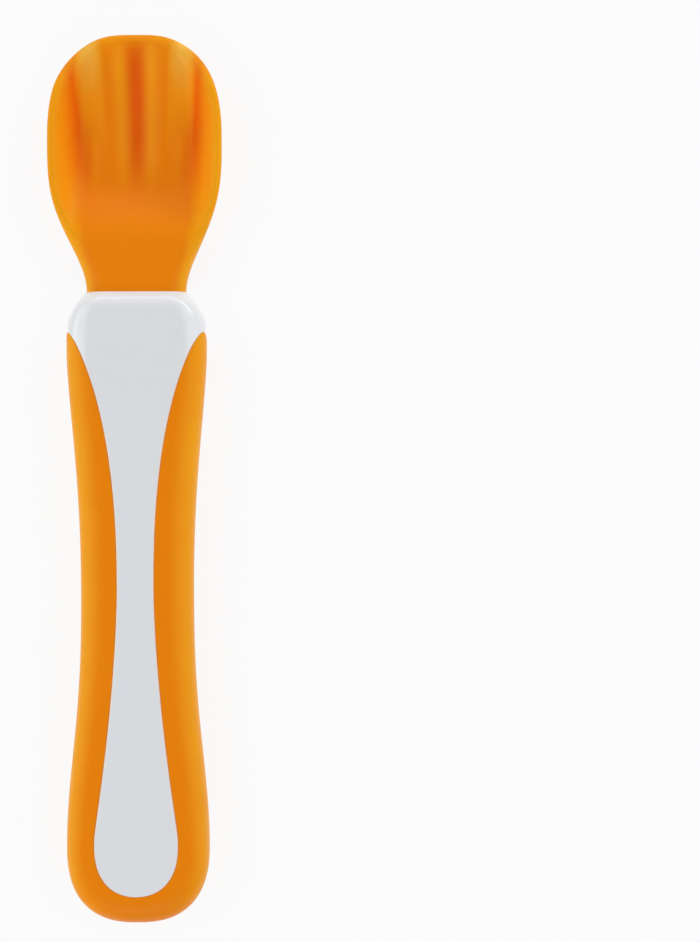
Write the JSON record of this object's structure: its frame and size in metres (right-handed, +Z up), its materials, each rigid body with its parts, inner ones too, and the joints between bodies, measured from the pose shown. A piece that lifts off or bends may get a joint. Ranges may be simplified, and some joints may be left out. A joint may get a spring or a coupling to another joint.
{
  "type": "baby feeding spoon",
  "caption": "Soft-tipped baby feeding spoon: fluted soft bowl plugged into the collar of a hard waisted handle with a soft grip round its sides and butt end.",
  "frame": {"origin": "centre of the footprint, on the table that the spoon lies on with its back down", "axes": "+Z up, out of the open bowl; +Y along the spoon from the handle's butt to the bowl's tip; +X across the spoon"},
  "size_m": [0.0274, 0.14, 0.01],
  "materials": {
    "handle_plastic": "glossy cool white moulded polypropylene",
    "grip_soft": "satin orange thermoplastic elastomer, moulded over the core",
    "bowl_soft": "satin orange soft elastomer, slightly translucent at thin edges",
    "insert_plastic": "natural unpigmented hard plastic, hidden in use"
  },
  "bodies": {
    "root": {"handle_core": "handle_plastic", "grip": "grip_soft", "bowl": "bowl_soft", "bowl_insert": "insert_plastic"}
  },
  "joints": []
}
